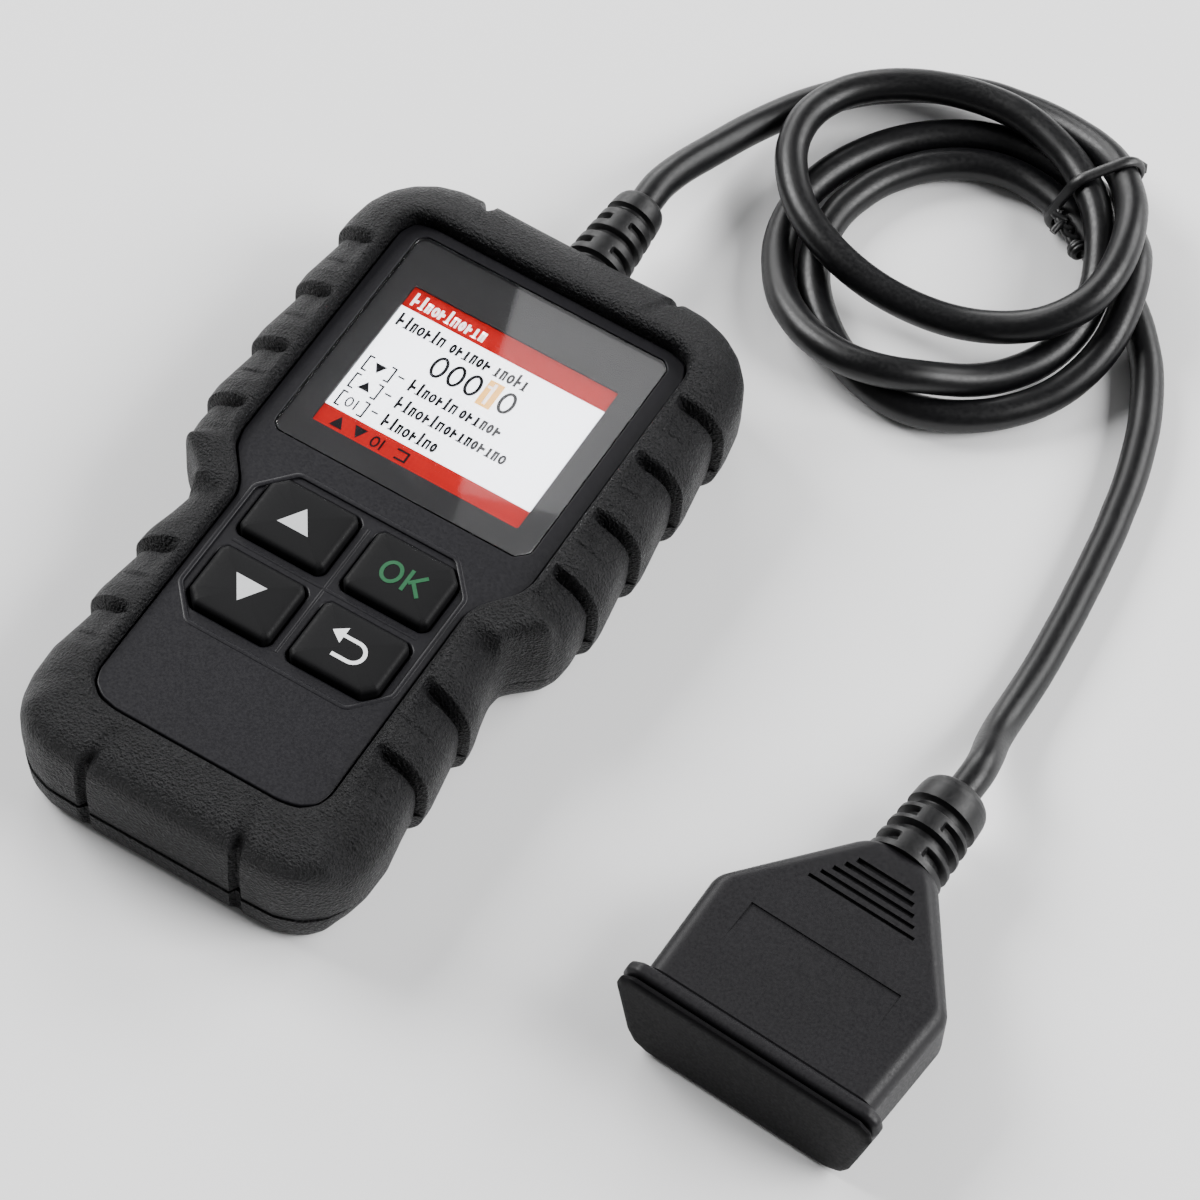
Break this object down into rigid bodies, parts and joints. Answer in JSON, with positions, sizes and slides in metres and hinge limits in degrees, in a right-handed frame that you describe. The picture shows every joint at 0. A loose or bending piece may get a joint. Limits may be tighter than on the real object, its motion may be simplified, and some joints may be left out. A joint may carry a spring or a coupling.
{
  "type": "obd code reader",
  "caption": "Handheld vehicle diagnostic code reader with a colour display, silicone keys, ribbed black case, coiled cable and a D-shaped diagnostic plug under its cover.",
  "frame": {"origin": "bottom centre of the case, lying on its back", "axes": "+X to the reader's right, +Y along its length towards the cable, +Z out of its front face"},
  "size_m": [0.1446, 0.1897, 0.0223],
  "materials": {
    "shell": "matt black with a fine stipple",
    "panel": "satin black",
    "lens": "clear window with a dark printed border",
    "display": "lit display picture",
    "light_guide": "milky acrylic",
    "flex": "amber polyimide film",
    "board": "green solder resist",
    "chip": "moulded epoxy",
    "can": "drawn can",
    "connector_white": "natural nylon",
    "steel": "plain",
    "silicone": "matt silicone",
    "label": "blank satin foil",
    "cable_jacket": "satin PVC jacket",
    "tie": "plastic coated wire",
    "plug_plastic": "fine matt moulding",
    "contacts": "gold flashed"
  },
  "bodies": {
    "case": {"front_shell": "shell", "back_shell": "shell", "rear_label": "label", "face_panel": "panel", "screen_lens": "lens", "lcd_panel": "display", "lcd_backlight": "light_guide", "lcd_frame": "steel", "lcd_flex": "flex", "key_mat": "silicone", "main_board": "board", "mcu_chip": "chip", "memory_chip": "chip", "can_transceiver": "chip", "voltage_regulator": "chip", "crystal": "can", "capacitor_1": "can", "capacitor_2": "can", "cable_header": "connector_white", "crimp_plug": "connector_white", "board_screw_1": "steel", "board_screw_2": "steel", "cable_relief": "cable_jacket", "cable_lead_in": "cable_jacket", "cable_coil": "cable_jacket", "cable_lead_out": "cable_jacket", "cable_tie": "tie", "plug_housing": "plug_plastic", "connector_insert": "plug_plastic", "contact_row_upper": "contacts", "contact_row_lower": "contacts", "plug_relief": "cable_jacket", "case_screw_1": "steel", "dome_switch_1": "steel", "case_screw_2": "steel", "dome_switch_2": "steel", "case_screw_3": "steel", "dome_switch_3": "steel", "case_screw_4": "steel", "dome_switch_4": "steel"},
    "key_up": {"key_up": "silicone"},
    "key_down": {"key_down": "silicone"},
    "key_ok": {"key_ok": "silicone"},
    "key_back": {"key_back": "silicone"},
    "dust_cap": {"dust_cap": "plug_plastic"}
  },
  "joints": [
    {"name": "key_up_press", "type": "slide", "parent": "case", "child": "key_up", "axis": [0, 0, -1], "range_m": [0, 0.001], "stiffness_N_per_m": 2000},
    {"name": "key_down_press", "type": "slide", "parent": "case", "child": "key_down", "axis": [0, 0, -1], "range_m": [0, 0.001], "stiffness_N_per_m": 2000},
    {"name": "key_ok_press", "type": "slide", "parent": "case", "child": "key_ok", "axis": [0, 0, -1], "range_m": [0, 0.001], "stiffness_N_per_m": 2000},
    {"name": "key_back_press", "type": "slide", "parent": "case", "child": "key_back", "axis": [0, 0, -1], "range_m": [0, 0.001], "stiffness_N_per_m": 2000},
    {"name": "dust_cap_pull", "type": "slide", "parent": "case", "child": "dust_cap", "axis": [-0.0628, -0.998, 0], "range_m": [0, 0.025]}
  ]
}
